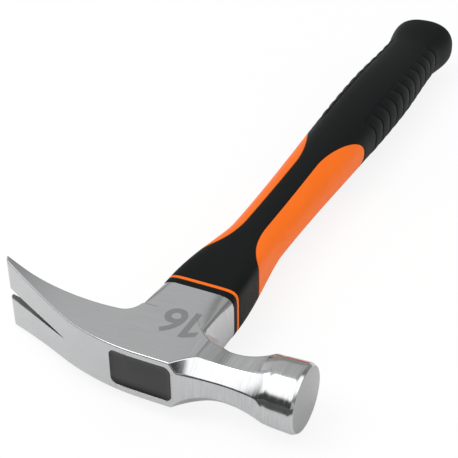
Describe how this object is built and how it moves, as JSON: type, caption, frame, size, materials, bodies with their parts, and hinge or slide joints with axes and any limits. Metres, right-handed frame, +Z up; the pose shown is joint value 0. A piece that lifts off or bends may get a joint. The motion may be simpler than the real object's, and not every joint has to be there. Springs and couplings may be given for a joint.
{
  "type": "straight claw hammer",
  "caption": "Straight claw hammer with a forged steel head, octagonal neck and a two-colour moulded handle over a bonded fibreglass rod.",
  "frame": {"origin": "middle of the bounding box on the surface that the hammer lies on", "axes": "+X from the claw to the striking face, +Y along the handle to the butt, +Z up through the cheeks"},
  "size_m": [0.1366, 0.34, 0.0332],
  "materials": {
    "forged_steel": "satin",
    "epoxy": "satin",
    "fibreglass": "satin",
    "orange_plastic": "satin",
    "black_rubber": "matte"
  },
  "bodies": {
    "root": {"hammer_head": "forged_steel", "eye_epoxy": "epoxy", "fibreglass_core": "fibreglass", "handle_jacket": "orange_plastic", "front_collar": "black_rubber", "rubber_grip": "black_rubber"}
  },
  "joints": []
}
